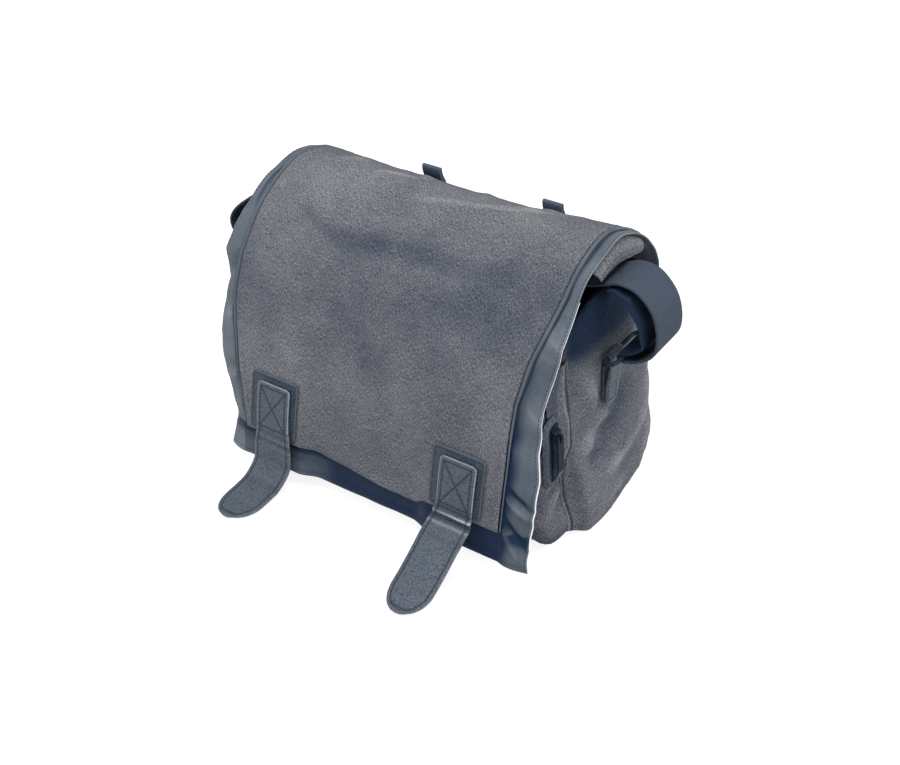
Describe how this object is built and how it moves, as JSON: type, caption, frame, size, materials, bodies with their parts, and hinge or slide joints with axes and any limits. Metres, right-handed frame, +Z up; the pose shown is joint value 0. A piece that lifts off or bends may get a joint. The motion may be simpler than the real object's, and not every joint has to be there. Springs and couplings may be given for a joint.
{
  "type": "camera shoulder bag",
  "caption": "Soft canvas camera shoulder bag with a domed storm flap, leather closing tongues, a zipped front pocket and a webbing strap on side rings.",
  "frame": {"origin": "middle of the flat base, on the floor", "axes": "+Z up, -Y towards the front flap, +X towards the side with the pocket's zip"},
  "size_m": [0.4156, 0.2983, 0.2442],
  "materials": {
    "canvas": "washed charcoal canvas",
    "coated_nylon": "coated storm lining with a soft sheen",
    "leather": "dark pebbled leather",
    "webbing": "dark webbing",
    "zip": "dark zip tape and teeth",
    "metal": "dark painted metal"
  },
  "bodies": {
    "bag": {"body_shell": "canvas", "front_pocket": "canvas", "zip_tape": "zip", "zip_slider": "metal", "flap_canvas": "canvas", "flap_lining": "coated_nylon", "shoulder_strap": "webbing", "pad_left": "leather", "pad_right": "leather", "tongue_left": "leather", "tongue_right": "leather", "side_tab_left": "leather", "side_tab_right": "leather", "ring_left": "metal", "ring_right": "metal", "ear_left": "canvas", "ear_right": "canvas", "back_loop_left": "webbing", "back_loop_right": "webbing"},
    "pull": {"zip_pull": "metal"}
  },
  "joints": [
    {"name": "zip_pull_swing", "type": "hinge", "parent": "bag", "child": "pull", "pos_m": [0.1593, -0.088, 0.112], "axis": [0, -1, 0], "range_deg": [0, 150]}
  ]
}
